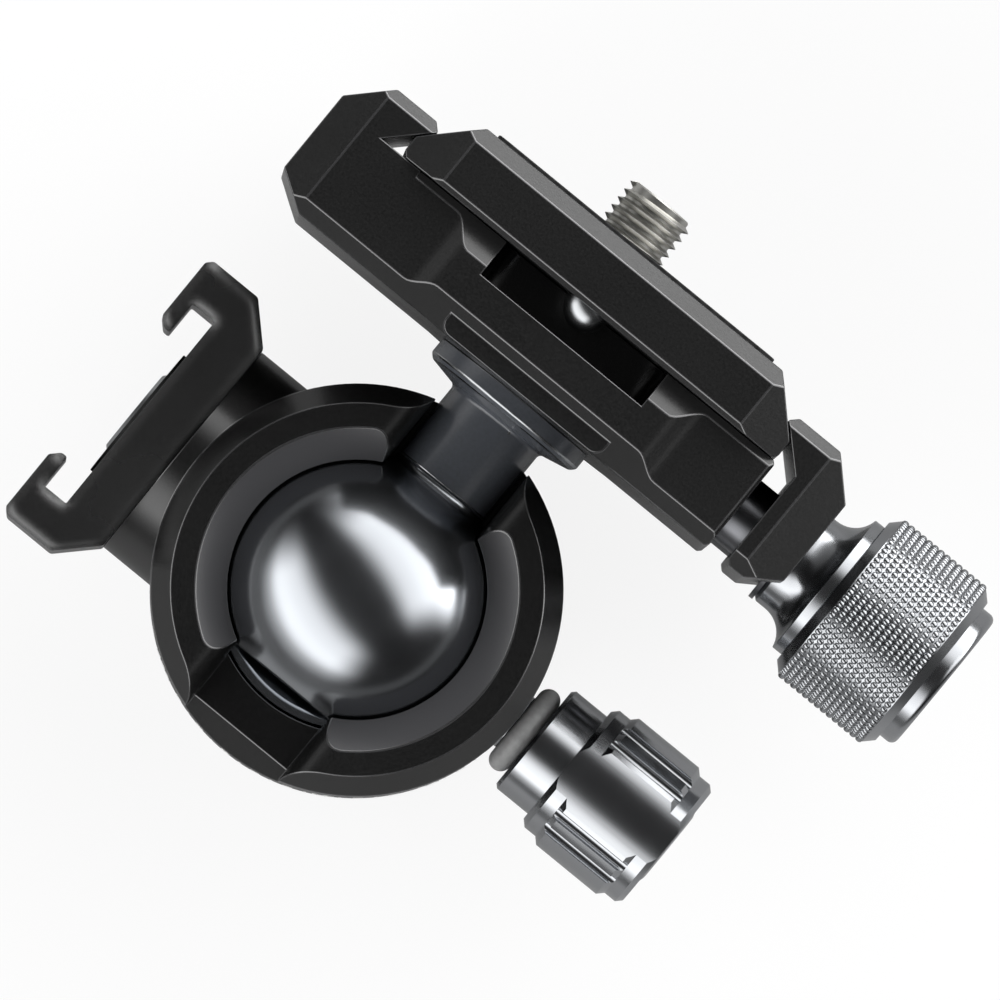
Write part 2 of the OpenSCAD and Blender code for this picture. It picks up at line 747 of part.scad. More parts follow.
// Front view of the clamp body, with the fixed jaw on the left
module clamp_profile() polygon([
    [-clamp_left, clamp_y + left_low_h], [-clamp_left + left_low_w, clamp_y],
    [clamp_right - small_edge, clamp_y], [clamp_right, clamp_y + small_edge],
    [clamp_right, bed_y - small_edge], [clamp_right - small_edge, bed_y], [-dovetail_x, bed_y],
    [-jaw_tip_x, jaw_top_y - jaw_lip], [-jaw_tip_x - jaw_lip, jaw_top_y],
    [-clamp_left + left_top_w, jaw_top_y], [-clamp_left, jaw_top_y - left_top_w]
]);

// Plan of the clamp body, with its ends set back from its middle
module clamp_plan() {
    front = concat(
        [[clamp_right, clamp_half_depth - small_edge], [clamp_right - small_edge, clamp_half_depth]],
        smooth_step(waist_start, clamp_half_depth, waist_end, clamp_mid_depth),
        smooth_step(-waist_end, clamp_mid_depth, -waist_start, clamp_half_depth),
        [[-clamp_left + corner_w, clamp_half_depth], [-clamp_left, clamp_half_depth - corner_depth]]
    );
    polygon(concat(front, flip_y(front)));
}

// Side view of the clamp body, bevelled below and on top of the fixed jaw
module clamp_side() {
    front = [
        [clamp_y, clamp_mid_depth - under_bevel_mid], [clamp_y + under_bevel_mid, clamp_mid_depth],
        [jaw_top_y - jaw_front_bevel - waist_proud, clamp_mid_depth],
        [jaw_top_y, clamp_half_depth - jaw_front_bevel]
    ];
    polygon(concat(front, flip_y(front)));
}

// Front view of the upright pad over the stem, with its two lower corners round
module hub_pad_profile() {
    flat_half_w = hub_pad_half_w - hub_pad_corner_r;
    translate([-flat_half_w, clamp_y]) square([2 * flat_half_w, under_bevel_mid]);
    translate([-hub_pad_half_w, clamp_y + hub_pad_corner_r])
        square([2 * hub_pad_half_w, under_bevel_mid - hub_pad_corner_r]);
    for (side = [-1, 1]) translate([side * flat_half_w, clamp_y + hub_pad_corner_r])
        circle(hub_pad_corner_r);
}

module clamp_body() color("#282828") difference() {
    union() {
        intersection() {
            front_extrude(clamp_mid_depth) clamp_profile();
            plan_extrude(clamp_y - cut, jaw_top_y + cut) clamp_plan();
            side_extrude(-clamp_left - cut, clamp_right + cut) clamp_side();
        }
        front_extrude(clamp_mid_depth - hub_pad_back) hub_pad_profile();
    }
    both_sides() {
        side_extrude(-bed_bevel_end, clamp_right + cut) bed_relief();
        plan_extrude(bed_y - pocket_depth, bed_y + cut) pocket_plan();
        on_clamp_axis(rod_bore_x, rod_offset)
            cylinder(r = rod_r + slide_gap, h = clamp_right - rod_bore_x + cut);
    }
    on_clamp_axis(screw_inner_x - edge) cylinder(r = clamp_screw_r + slide_gap, h = clamp_right);
    on_stem_axis(clamp_y - cut) cylinder(r = bolt_r + slide_gap, h = bed_h + 2 * cut);
    on_stem_axis(bed_y - bolt_head_t - bolt_sink)
        cylinder(r = bolt_head_r + slide_gap, h = bolt_head_t + bolt_sink + cut);
    on_stem_axis(clamp_y - key_length / 2, 0, key_offset) cylinder(r = key_r + thread_gap, h = key_length);
}

// What the steep bevel takes off the bed's front edge, beyond the end of the fixed jaw
module bed_relief() polygon([
    [bed_y + cut, clamp_half_depth - (bed_bevel + cut) / bed_bevel_slope],
    [bed_y - bed_bevel - waist_proud * bed_bevel_slope - cut * bed_bevel_slope, clamp_mid_depth + cut],
    [bed_y + cut, clamp_mid_depth + cut]
]);

// Pocket for the domed head of a stop pin, open at the front, with round inner corners
module pocket_plan() {
    inner = pin_offset - pin_head_r - plate_travel - slide_gap;
    translate([-pocket_half_w, inner + pocket_corner_r])
        square([2 * pocket_half_w, clamp_mid_depth - inner - pocket_corner_r + cut]);
    translate([-pocket_half_w + pocket_corner_r, inner])
        square([2 * (pocket_half_w - pocket_corner_r), pocket_corner_r + cut]);
    for (side = [-1, 1]) translate([side * (pocket_half_w - pocket_corner_r), inner + pocket_corner_r])
        circle(pocket_corner_r);
}

module clamp_bolt() color("#55585a") difference() {
    union() {
        on_stem_axis(bed_y - bolt_head_t - bolt_sink) rod(bolt_head_r, bolt_head_t, 0, small_edge);
        on_stem_axis(clamp_y - bolt_reach + small_edge)
            cylinder(r = bolt_r, h = bed_h + bolt_reach - bolt_sink - edge);
    }
    on_stem_axis(bed_y - bolt_sink - bolt_hex_depth)
        cylinder(r = bolt_hex_r, h = bolt_hex_depth + cut, $fn = 6);
}

module moving_jaw() color("#282828") difference() {
    intersection() {
        front_extrude(clamp_half_depth) jaw_profile();
        plan_extrude(clamp_y - cut, jaw_top_y + cut) jaw_plan();
        side_extrude(jaw_tip_x - cut, jaw_end_x + cut) clamp_side();
    }
    on_clamp_axis(jaw_x - cut) cylinder(r = screw_hole_r, h = jaw_t + 2 * cut);
    on_clamp_axis(hub_x - thrust_t) cylinder(r = hub_hole_r, h = jaw_t);
    for (side = [-1, 1]) on_clamp_axis(jaw_x - cut, side * rod_offset)
        cylinder(r = rod_r + thread_gap, h = cut + rod_jaw_depth);
}

module jaw_profile() polygon([
    [jaw_x, clamp_y + jaw_foot_bevel - jaw_low_lift], [jaw_x + jaw_foot_bevel, clamp_y - jaw_low_lift],
    [jaw_end_x - jaw_low_w, clamp_y - jaw_low_lift], [jaw_end_x, clamp_y + jaw_low_h],
    [jaw_end_x, jaw_top_y - jaw_top_w], [jaw_end_x - jaw_top_w, jaw_top_y],
    [jaw_tip_x + jaw_lip, jaw_top_y], [jaw_tip_x, jaw_top_y - jaw_lip],
    [jaw_x, bed_y + jaw_x - dovetail_x]
]);

module jaw_plan() {
    front = [
        [jaw_end_x, clamp_half_depth - jaw_corner_depth], [jaw_end_x - jaw_corner_w, clamp_half_depth],
        [jaw_tip_x - cut, clamp_half_depth]
    ];
    polygon(concat(front, flip_y(front)));
}

module guide_rods() color("#b5b7ba") for (side = [-1, 1]) on_clamp_axis(rod_inner_x, side * rod_offset)
    rod(rod_r, jaw_x + rod_jaw_depth - thread_gap - rod_inner_x, small_edge, small_edge);

// One compression spring, swept along a helix with a formula
module coil(length) {
    rings = coil_turns * coil_steps;
    points = [
        for (i = [0 : rings], s = [0 : coil_sides - 1]) let (
            turn = 360 * i / coil_steps,
            a = 360 * s / coil_sides,
            r = coil_r + coil_wire_r * cos(a),
            z = coil_wire_r + (length - 2 * coil_wire_r) * i / rings + coil_wire_r * sin(a)
        ) [r * cos(turn), r * sin(turn), z]
    ];
    sides = [
        for (i = [0 : rings - 1], s = [0 : coil_sides - 1]) let (
            a = i * coil_sides + s,
            b = i * coil_sides + (s + 1) % coil_sides
        ) each [[a, a + coil_sides, b + coil_sides], [a, b + coil_sides, b]]
    ];
    start = [[for (s = [0 : coil_sides - 1]) s]];
    end = [[for (s = [coil_sides - 1 : -1 : 0]) rings * coil_sides + s]];
    polyhedron(points, concat(sides, start, end));
}

module jaw_springs() color("#9c9c9c") for (side = [-1, 1])
    on_clamp_axis(rod_bore_x + slide_gap, side * rod_offset) coil(rod_inner_x - rod_bore_x - 2 * slide_gap);

module thrust_washer() color("#d8d6cc") on_clamp_axis(hub_x - thrust_t)
    ring(screw_hole_r, hub_hole_r - slide_gap, thrust_t);

module clamp_screw() color("#a8a8a8") on_clamp_axis(screw_inner_x)
    rod(clamp_screw_r, grip_x + knob_screw_depth - screw_inner_x, edge, small_edge);

// Hub with a flared neck and a collar, bored for the screw
module knob_hub() color("#c4c6c9") on_clamp_axis(hub_x) difference() {
    rotate_extrude() difference() {
        polygon([
            [0, 0], [hub_r - small_edge, 0], [hub_r, small_edge], [hub_r, hub_neck],
            [hub_r + hub_flare_r, hub_neck], [hub_collar_r, hub_neck + hub_flare_length],
            [hub_collar_r, hub_neck + hub_flare_length + hub_collar_w],
            [0, hub_neck + hub_flare_length + hub_collar_w]
        ]);
        translate([hub_r + hub_flare_r, hub_neck]) circle(hub_flare_r);
    }
    translate([0, 0, -cut]) cylinder(r = clamp_screw_r + thread_gap, h = grip_x);
}

// Grip with a row of bead rings, bored for the screw and for the cap
module knob_grip() color("#bfc1c4") on_clamp_axis(grip_x) difference() {
    rod(grip_r, grip_length, grip_end_bevel, grip_end_bevel);
    for (i = [0 : grip_beads]) translate([0, 0, bead_margin + i * bead_pitch]) rotate_extrude() polygon([
        [grip_r - bead_depth, 0], [grip_r + bead_depth, -bead_depth], [grip_r + bead_depth, bead_depth]
    ]);
    translate([0, 0, -cut]) cylinder(r = clamp_screw_r + thread_gap, h = knob_screw_depth + cut);
    translate([0, 0, grip_length - cap_lip]) cylinder(r = hub_collar_r + thread_gap, h = cut);
}

// Smooth cap with a rounded rim
module knob_cap() color("#c4c6c9") on_clamp_axis(grip_x + grip_length - cap_lip) rotate_extrude() {
    inner_r = hub_collar_r - cap_round;
    square([hub_collar_r, cap_w - cap_round]);
    square([inner_r, cap_w]);
    translate([inner_r, cap_w - cap_round]) intersection() {
        circle(cap_round, $fn = 48);
        square(cap_round);
    }
}

// Front view of the dovetail plate
module plate_profile() {
    top_half_w = plate_half_w - (plate_t - plate_knee);
    polygon([
        [-plate_half_w + plate_under_edge, plate_y], [plate_half_w - plate_under_edge, plate_y],
        [plate_half_w, plate_y + plate_under_edge], [plate_half_w, plate_y + plate_knee],
        [top_half_w, plate_top_y], [-top_half_w, plate_top_y],
        [-plate_half_w, plate_y + plate_knee], [-plate_half_w, plate_y + plate_under_edge]
    ]);
}

module plate_plan() {
    half = plate_length / 2;
    front = [
        [plate_half_w, half - plate_corner_depth], [plate_half_w - plate_corner_w, half],
        [-plate_half_w + plate_corner_w, half], [-plate_half_w, half - plate_corner_depth]
    ];
    polygon(concat(front, flip_y(front)));
}

module plate_side() {
    half = plate_length / 2;
    front = [
        [plate_y, half - plate_under_edge], [plate_y + plate_under_edge, half],
        [plate_top_y - plate_front_bevel, half], [plate_top_y, half - plate_front_bevel]
    ];
    polygon(concat(front, flip_y(front)));
}

module plate() color("#282828") difference() {
    intersection() {
        front_extrude(plate_length / 2) plate_profile();
        plan_extrude(plate_y - cut, plate_top_y + cut) plate_plan();
        side_extrude(-plate_half_w - cut, plate_half_w + cut) plate_side();
    }
    plan_extrude(pad_y, plate_top_y + cut)
        round_square(pad_half_w + slide_gap, plate_length / 2 - pad_margin + slide_gap, pad_corner_r);
    on_stem_axis(plate_y - cut, -camera_offset) cylinder(r = camera_r + slide_gap, h = plate_t + 2 * cut);
    on_stem_axis(plate_y - cut, -camera_offset)
        cylinder(r = camera_head_r + head_room, h = cut + camera_head_sink + camera_head_t + slide_gap);
    on_stem_axis(clip_y - slide_gap, -camera_offset)
        cylinder(r = clip_r + head_room, h = clip_t + clip_sink + 2 * slide_gap);
    for (side = [-1, 1]) on_stem_axis(plate_y - cut, 0, side * pin_offset)
        cylinder(r = pin_shank_r + thread_gap, h = cut + pin_shank_length);
}

module plate_pad() color("#1c1c1c") difference() {
    plan_extrude(pad_y, pad_y + pad_t) round_square(pad_half_w, plate_length / 2 - pad_margin, pad_corner_r);
    on_stem_axis(pad_y - cut, -camera_offset) cylinder(r = camera_r + head_room, h = pad_t + 2 * cut);
}

// Domed heads hang below the plate at its front and back
module stop_pins() color("#d0d2d4") for (side = [-1, 1]) {
    on_stem_axis(plate_y, 0, side * pin_offset) cylinder(r = pin_shank_r, h = pin_shank_length - small_edge);
    intersection() {
        translate([0, plate_y, ball_z + side * pin_offset]) sphere(r = pin_head_r);
        on_stem_axis(plate_y - pin_head_r, 0, side * pin_offset)
            cylinder(r = pin_head_r + cut, h = pin_head_r);
    }
}

// Captive screw, with a neck that runs in the plate and a thread above the pad
module camera_screw() color("#a9a6a0") difference() {
    union() {
        on_stem_axis(head_y, -camera_offset) rod(camera_head_r, camera_head_t, small_edge, small_edge);
        on_stem_axis(head_y, -camera_offset)
            cylinder(r = camera_neck_r, h = camera_thread_y - head_y + camera_thread_air);
        on_stem_axis(camera_thread_y, -camera_offset)
            rod(camera_r, camera_tip_y - camera_thread_y, 0, camera_tip);
    }
    on_stem_axis(head_y - cut, -camera_offset)
        translate([-camera_head_r - cut, -camera_slot_w / 2, 0])
            cube([2 * (camera_head_r + cut), camera_slot_w, camera_slot_depth + cut]);
    on_stem_axis(clip_y, -camera_offset) ring(camera_neck_r - clip_sink, camera_neck_r + cut, clip_t);
}

module screw_clip() color("#707376") on_stem_axis(clip_y + thread_gap, -camera_offset)
    ring(camera_neck_r - clip_sink + thread_gap, clip_r, clip_t - 2 * thread_gap);

base_plate();
socket_bush();
pivot_washer();
pivot_screw();
pan_glide();
housing();
floor_plate();
cup_spring();
lower_cup();
shoe_block();
shoe_washer();
shoe_screw();
lock_pin();
lock_screw();
lock_seal();
lock_knob();
lock_end_cap();
ball();
stem();
stem_key();
clamp_body();
clamp_bolt();
moving_jaw();
guide_rods();
jaw_springs();
thrust_washer();
clamp_screw();
knob_hub();
knob_grip();
knob_cap();
plate();
plate_pad();
stop_pins();
camera_screw();
screw_clip();
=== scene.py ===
# %% [markdown]
# A small tripod ball head, dressed for the camera.
#
# This lesson gives those nodes soft edges and real finishes, and models by hand the details that
# are too fine for the CAD file: the knurled grip, the screw thread and the degree scale.
#
# Everything is in metres, unless a name ends with mm. X points to the two knobs, Y along the
# ball's stem and Z up the pan axis.

# %% Load the frame
import math

import bpy
from mathutils import Matrix, Vector


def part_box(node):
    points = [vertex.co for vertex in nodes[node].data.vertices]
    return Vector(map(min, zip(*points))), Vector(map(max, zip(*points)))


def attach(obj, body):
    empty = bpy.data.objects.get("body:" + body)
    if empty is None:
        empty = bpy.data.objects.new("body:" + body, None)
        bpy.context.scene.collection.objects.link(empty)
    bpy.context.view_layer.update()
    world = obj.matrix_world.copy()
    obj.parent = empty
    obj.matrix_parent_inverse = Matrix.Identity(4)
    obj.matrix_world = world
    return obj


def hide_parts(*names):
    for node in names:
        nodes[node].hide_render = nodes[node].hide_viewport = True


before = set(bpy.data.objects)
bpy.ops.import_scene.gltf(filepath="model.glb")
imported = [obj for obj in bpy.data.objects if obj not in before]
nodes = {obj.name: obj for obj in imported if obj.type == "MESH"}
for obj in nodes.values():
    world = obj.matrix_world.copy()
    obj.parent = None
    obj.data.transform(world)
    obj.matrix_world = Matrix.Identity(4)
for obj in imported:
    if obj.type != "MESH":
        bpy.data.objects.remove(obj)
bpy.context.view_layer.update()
bpy.ops.object.select_all(action="DESELECT")

# %% [markdown]
# Places are read from the CAD boxes, so the hand-made pieces follow if a size changes there.

# %% Real sizes and places
MM = 0.001


def middle(node):
    low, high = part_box(node)
    return (low + high) / 2


ball_centre = Vector((middle("ball").x, 0, middle("ball").z))
pan_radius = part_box("base_plate")[1].x
housing_low, housing_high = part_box("housing")
housing_radius = housing_high.x
clamp_axis = middle("knob_grip")
lock_axis = middle("lock_knob")
screw_axis = middle("camera_screw")
print("ball centre at", [round(c / MM, 2) for c in ball_centre], "mm")

# %% [markdown]
# Two small helpers serve every material. Colours are written as sRGB hex values, the way a colour
# picker shows them, and Blender wants linear light, so one function converts them. The other adds
# a node: a socket given as an input is linked, and anything else is set as a value.


# %% Material helpers
def srgb(code):
    channels = [int(code[i : i + 2], 16) / 255 for i in (1, 3, 5)]
    return [c / 12.92 if c < 0.04045 else ((c + 0.055) / 1.055) ** 2.4 for c in channels] + [1]


def add_node(tree, kind, inputs=None, **settings):
    node = tree.nodes.new(kind)
    for name, value in settings.items():
        setattr(node, name, value)
    for name, value in (inputs or {}).items():
        if isinstance(value, bpy.types.NodeSocket):
            tree.links.new(value, node.inputs[name])
        else:
            node.inputs[name].default_value = value
    return node


def new_material(name, **shader_values):
    material = bpy.data.materials.new(name)
    material.use_nodes = True
    shader = material.node_tree.nodes["Principled BSDF"]
    for socket, value in shader_values.items():
        shader.inputs[socket.replace("_", " ")].default_value = value
    return material, material.node_tree, shader


def object_place(tree, centre=(0, 0, 0)):
    place = add_node(tree, "ShaderNodeTexCoord").outputs["Object"]
    shift = add_node(tree, "ShaderNodeVectorMath", {0: place, 1: centre}, operation="SUBTRACT")
    return shift.outputs["Vector"]


def noise(tree, place, size_mm, detail):
    spots = {"Vector": place, "Scale": 1 / (size_mm * MM), "Detail": detail}
    return add_node(tree, "ShaderNodeTexNoise", spots).outputs["Fac"]


def blend_colours(tree, factor, dark, light):
    """Noise keeps near a half, so the colours run their whole way from 0.3 to 0.7"""
    ramp = add_node(tree, "ShaderNodeValToRGB", {"Fac": factor})
    ramp.color_ramp.elements[0].position = 0.3
    ramp.color_ramp.elements[0].color = srgb(dark)
    ramp.color_ramp.elements[1].position = 0.7
    ramp.color_ramp.elements[1].color = srgb(light)
    return ramp.outputs["Color"]


def blend_values(tree, factor, low, high):
    limits = {"Value": factor, "To Min": low, "To Max": high}
    return add_node(tree, "ShaderNodeMapRange", limits).outputs["Result"]


# %% [markdown]
# The dark pieces are aluminium, bead-blasted and then anodised black. Blasting leaves fine pits
# and anodising a hard clear oxide over the dye, so the surface is matt face on and shines softly
# at a slant. The real grit is near 0.1 mm, and it is drawn at 0.2 mm so that it shows. A wider
# noise makes some places a little duller than others, as handling does.
#
# The shoe block was tumbled for longer, so light runs round its edges in a broad soft band. A
# bevel as broad as that would fill the block's narrow channel, so a Bevel node bends the light
# instead and leaves the shape alone.

# %% Black anodised aluminium
cloud_mm = 9
roughness_spread = 0.05
soft_edge_samples = 8


def anodised(name, dark, light, ior, roughness, grit_mm, pit_mm, soft_edge_mm=0):
    material, tree, shader = new_material(name, IOR=ior, Metallic=0.0)
    place = object_place(tree)
    grit = noise(tree, place, grit_mm, 2)
    cloud = noise(tree, place, cloud_mm, 3)
    tree.links.new(blend_colours(tree, grit, dark, light), shader.inputs["Base Color"])
    low, high = roughness - roughness_spread, roughness + roughness_spread
    tree.links.new(blend_values(tree, cloud, low, high), shader.inputs["Roughness"])
    pits = add_node(
        tree, "ShaderNodeBump", {"Height": grit, "Strength": 1.0, "Distance": pit_mm * MM}
    )
    tree.links.new(pits.outputs["Normal"], shader.inputs["Normal"])
    if soft_edge_mm:
        soft = add_node(
            tree, "ShaderNodeBevel", {"Radius": soft_edge_mm * MM}, samples=soft_edge_samples
        )
        tree.links.new(soft.outputs["Normal"], pits.inputs["Normal"])
    return material


black_anodised = anodised(
    "bead-blasted black anodised aluminium",
    "#131313",
    "#1f1f1f",
    ior=1.66,
    roughness=0.25,
    grit_mm=0.2,
    pit_mm=0.003,
)
shoe_black = anodised(
    "black anodising on a tumbled block",
    "#111111",
    "#1a1a1a",
    ior=2.1,
    roughness=0.27,
    grit_mm=0.2,
    pit_mm=0.003,
    soft_edge_mm=1.6,
)
# painted highlight: a lighter colour and a stronger shine on the bevels, for the light along the
# edges
edge_highlight_paint = anodised(
    "painted edge highlight on the anodising",
    "#2c2c2d",
    "#363637",
    ior=2.1,
    roughness=0.24,
    grit_mm=0.3,
    pit_mm=0.001,
)
grey_anodised = anodised(
    "hard grey anodised aluminium",
    "#4c4f54",
    "#505359",
    ior=1.75,
    roughness=0.24,
    grit_mm=0.3,
    pit_mm=0.001,
)

# %% [markdown]
# The cone that leads down to the ball is painted a shade lighter than the rest of the housing, a
# painted highlight for the light that its slope catches. The material finds it by place: a point
# is on the cone when its height follows the cone's slope, to within a hair.

# %% Housing with painted light on its cone
cone_mouth_radius = 10.3 * MM
cone_mouth_rise = 4.27 * MM
cone_slope = 0.659
cone_at_axis = cone_mouth_rise - cone_slope * cone_mouth_radius
surely_on_cone = 0.05 * MM
surely_off_cone = 0.09 * MM
# painted highlight: this lighter grey on the cone stands in for the light that its slope catches
cone_painted_light_grey = "#474749"
# painted shade: the housing's black is darker than the other black parts, for the shade in its
# notch
housing_black = anodised(
    "black anodised housing with a turned cone",
    "#0e0e0e",
    "#1a1a1a",
    ior=1.66,
    roughness=0.25,
    grit_mm=0.2,
    pit_mm=0.003,
)
tree = housing_black.node_tree
shader = tree.nodes["Principled BSDF"]
parts = add_node(tree, "ShaderNodeSeparateXYZ", {"Vector": object_place(tree, ball_centre)})
across = add_node(
    tree, "ShaderNodeCombineXYZ", {"X": parts.outputs["X"], "Y": parts.outputs["Y"]}
)
radius = add_node(tree, "ShaderNodeVectorMath", {0: across.outputs["Vector"]}, operation="LENGTH")
cone_height = add_node(
    tree,
    "ShaderNodeMath",
    {0: radius.outputs["Value"], 1: cone_slope, 2: cone_at_axis},
    operation="MULTIPLY_ADD",
)
above = add_node(
    tree,
    "ShaderNodeMath",
    {0: parts.outputs["Z"], 1: cone_height.outputs["Value"]},
    operation="SUBTRACT",
)
off_cone = add_node(tree, "ShaderNodeMath", {0: above.outputs["Value"]}, operation="ABSOLUTE")
on_cone = add_node(
    tree,
    "ShaderNodeMapRange",
    {
        "Value": off_cone.outputs["Value"],
        "From Min": surely_off_cone,
        "From Max": surely_on_cone,
    },
)
blasted = shader.inputs["Base Color"].links[0].from_socket
shade = add_node(
    tree,
    "ShaderNodeMix",
    {0: on_cone.outputs["Result"], 6: blasted, 7: srgb(cone_painted_light_grey)},
    data_type="RGBA",
)
tree.links.new(shade.outputs[2], shader.inputs["Base Color"])

# %% [markdown]
# The ball, stem and knobs are turned metal. A lathe leaves rings round the axis, which show as
# lines along the sides and as circles on the end faces. A wave texture in rings about the axis
# makes the circles, and one in bands along it makes the lines. Real rings are 0.1 mm apart or
# less. Here they are drawn coarser and very shallow, for the slight unevenness that they give a
# highlight. Smudges make the metal up to a fifth duller or brighter from place to place.

# %% Turned metal
smudge_mm = 3


def wave_scale(spacing_mm):
    """At scale 1, Blender's wave texture turns by 20 radians in each metre"""
    return math.tau / 20 / (spacing_mm * MM)


def turned_metal(name, colour, axis, centre, roughness, ring_mm, ring_depth_mm):
    material, tree, shader = new_material(name, Metallic=1.0, Base_Color=srgb(colour))
    place = object_place(tree, centre)
    scale = wave_scale(ring_mm)
    circles = add_node(
        tree,
        "ShaderNodeTexWave",
        {"Vector": place, "Scale": scale, "Distortion": 0.6, "Detail": 1.0},
        wave_type="RINGS",
        rings_direction=axis,
    )
    lines = add_node(
        tree,
        "ShaderNodeTexWave",
        {"Vector": place, "Scale": scale, "Distortion": 0.3, "Detail": 1.0},
        wave_type="BANDS",
        bands_direction=axis,
    )
    both = add_node(
        tree,
        "ShaderNodeMath",
        {0: circles.outputs["Fac"], 1: lines.outputs["Fac"]},
        operation="ADD",
    )
    smudge = noise(tree, place, smudge_mm, 3)
    low, high = roughness * 0.8, roughness * 1.2
    tree.links.new(blend_values(tree, smudge, low, high), shader.inputs["Roughness"])
    cut = add_node(
        tree,
        "ShaderNodeBump",
        {"Height": both.outputs["Value"], "Strength": 1.0, "Distance": ring_depth_mm * MM},
    )
    tree.links.new(cut.outputs["Normal"], shader.inputs["Normal"])
    return material


polish = {"roughness": 0.2, "ring_mm": 2.5, "ring_depth_mm": 0.00005}
satin = {"ring_mm": 1.6, "ring_depth_mm": 0.0004}
fine_turning = {"roughness": 0.33, "ring_mm": 1.9, "ring_depth_mm": 0.0001}
turning = {"ring_mm": 1.9, "ring_depth_mm": 0.0003}
ball_chrome = turned_metal("polished hard chrome", "#a8abaf", "Y", ball_centre, **polish)
lock_silver = turned_metal(
    "satin silver on the lock knob", "#b0b2b5", "X", lock_axis, roughness=0.19, **satin
)
clamp_silver = turned_metal(
    "satin silver on the clamp knob", "#a9abae", "X", clamp_axis, roughness=0.2, **satin
)
screw_steel = turned_metal("stainless steel", "#cccbc6", "Y", screw_axis, **fine_turning)
bright_steel = turned_metal(
    "ground steel", "#a9abad", "X", clamp_axis, roughness=0.25, **turning
)
black_steel = turned_metal(
    "blackened steel", "#707174", "Y", ball_centre, roughness=0.3, **turning
)
brass = turned_metal("turned brass", "#b58d4c", "X", lock_axis, roughness=0.3, **turning)


# %% [markdown]
# Rubber and the slippery plastic of the glide rings are dull and slightly uneven, so a soft noise
# drives both their colour and a shallow bump. The pad on the plate has moulded ribs instead of the
# bump, a tenth as deep as they are far apart. The scale's paint is made the same way.


# %% Rubber, plastic and paint
def dull(name, dark, light, roughness, grain_mm, bump_mm, rib_mm=0):
    material, tree, shader = new_material(name, Roughness=roughness, IOR=1.5)
    place = object_place(tree)
    grain = noise(tree, place, grain_mm, 3)
    tree.links.new(blend_colours(tree, grain, dark, light), shader.inputs["Base Color"])
    height, depth = grain, bump_mm
    if rib_mm:
        ribs = add_node(
            tree,
            "ShaderNodeTexWave",
            {"Vector": place, "Scale": wave_scale(rib_mm)},
            wave_type="BANDS",
            bands_direction="X",
        )
        height, depth = ribs.outputs["Fac"], rib_mm / 10
    bump = add_node(
        tree, "ShaderNodeBump", {"Height": height, "Strength": 1.0, "Distance": depth * MM}
    )
    tree.links.new(bump.outputs["Normal"], shader.inputs["Normal"])
    return material


rubber_grain = {"grain_mm": 0.4, "bump_mm": 0.01}
silicone_grain = {"grain_mm": 0.5, "bump_mm": 0.004}
plastic_grain = {"grain_mm": 0.8, "bump_mm": 0.004}
paint_grain = {"grain_mm": 0.3, "bump_mm": 0.002}
pad_rubber = dull("ribbed black rubber", "#161616", "#212121", 0.7, rib_mm=1.2, **rubber_grain)
black_rubber = dull("black rubber", "#181818", "#232323", 0.65, **rubber_grain)
grey_rubber = dull("grey silicone rubber", "#989898", "#a8a8a8", 0.42, **silicone_grain)
white_plastic = dull("white PTFE", "#d9d7d0", "#e4e2dc", 0.45, **plastic_grain)
scale_paint = dull("white scale paint", "#ececea", "#f6f6f4", 0.5, **paint_grain)

# %% [markdown]
# A CAD node keeps its own mesh, so its edges are rounded by live modifiers: Weld joins the loose
# triangles, a planar Decimate clears the lines inside flat faces, and Bevel takes a hair off each
# edge. On the real pieces that hair is the tumbled edge that catches the light as a thin line.
#
# Bevel's clamp stops every edge of a piece at the width that its shortest edge allows. The pieces
# with both long and very short edges leave it off, because the hair is narrow enough without it.

# %% Soft edges for the CAD nodes
same_point_mm = 0.0005
flat_within = math.radians(0.5)
sharp_from = math.radians(22)


def finish_node(name, material, edge_mm=0.12, rings=2, edge_highlight_material=None, clamp=True):
    piece = nodes[name]
    bpy.ops.object.select_all(action="DESELECT")
    piece.select_set(True)
    bpy.context.view_layer.objects.active = piece
    if piece.data.has_custom_normals:
        bpy.ops.mesh.customdata_custom_splitnormals_clear()
    bpy.ops.object.shade_smooth()
    weld = piece.modifiers.new("join the triangles", "WELD")
    weld.merge_threshold = same_point_mm * MM
    flat = piece.modifiers.new("clear the flat faces", "DECIMATE")
    flat.decimate_type = "DISSOLVE"
    flat.angle_limit = flat_within
    bevel = piece.modifiers.new("round the edges", "BEVEL")
    bevel.width = edge_mm * MM
    bevel.segments = rings
    bevel.limit_method = "ANGLE"
    bevel.angle_limit = sharp_from
    bevel.harden_normals = True
    bevel.use_clamp_overlap = clamp
    piece.data.materials.clear()
    piece.data.materials.append(material)
    if edge_highlight_material:
        piece.data.materials.append(edge_highlight_material)
        bevel.material = 1
    piece.select_set(False)


# %% [markdown]
# Each node then gets the finish of the real piece. The black bodies and the stem have their edges
# in a second, lighter material, a painted highlight along each edge.

# %% Finishes for the CAD nodes
for name in ["base_plate", "floor_plate", "clamp_body", "moving_jaw", "plate"]:
    finish_node(name, black_anodised, 0.1, edge_highlight_material=edge_highlight_paint, clamp=False)
finish_node("housing", housing_black, 0.09, edge_highlight_material=edge_highlight_paint, clamp=False)
finish_node("shoe_block", shoe_black, 0.2)
finish_node("lower_cup", ball_chrome, 0.2, rings=4, clamp=False)
finish_node("ball", ball_chrome, 0.05)
